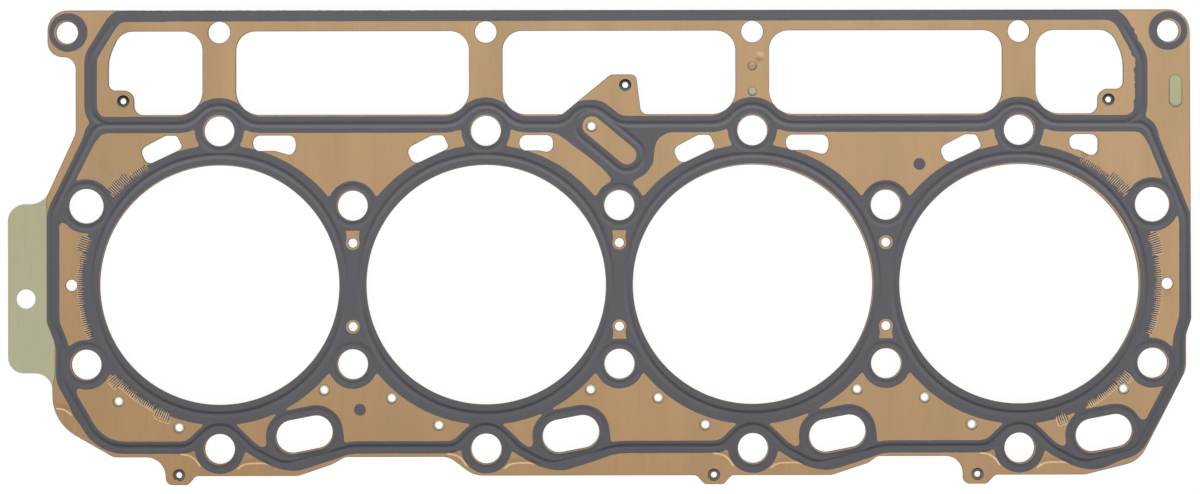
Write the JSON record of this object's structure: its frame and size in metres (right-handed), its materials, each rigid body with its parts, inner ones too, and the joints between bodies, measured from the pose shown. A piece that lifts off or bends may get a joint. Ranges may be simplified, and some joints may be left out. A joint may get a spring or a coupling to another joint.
{
  "type": "cylinder head gasket",
  "caption": "Flat multi-layer steel cylinder head gasket with a row of combustion openings, raised sealing beads, bolt and coolant holes, a pushrod rail with windows and a side tab.",
  "frame": {"origin": "on the underside of the bottom sheet, midway between the two middle cylinders on the cylinder row", "axes": "+X along the cylinder row, +Y towards the pushrod rail, +Z out of the coated upper face"},
  "size_m": [0.5151, 0.2067, 0.0013],
  "materials": {
    "coated_sheet": "bronze-coloured anti-stick lacquer with dark grey rubber coating round each opening",
    "eyelet_steel": "blackened"
  },
  "bodies": {
    "root": {"steel_layers": "coated_sheet", "eyelet_1": "eyelet_steel", "eyelet_2": "eyelet_steel", "eyelet_3": "eyelet_steel", "eyelet_4": "eyelet_steel", "eyelet_5": "eyelet_steel", "eyelet_6": "eyelet_steel"}
  },
  "joints": []
}
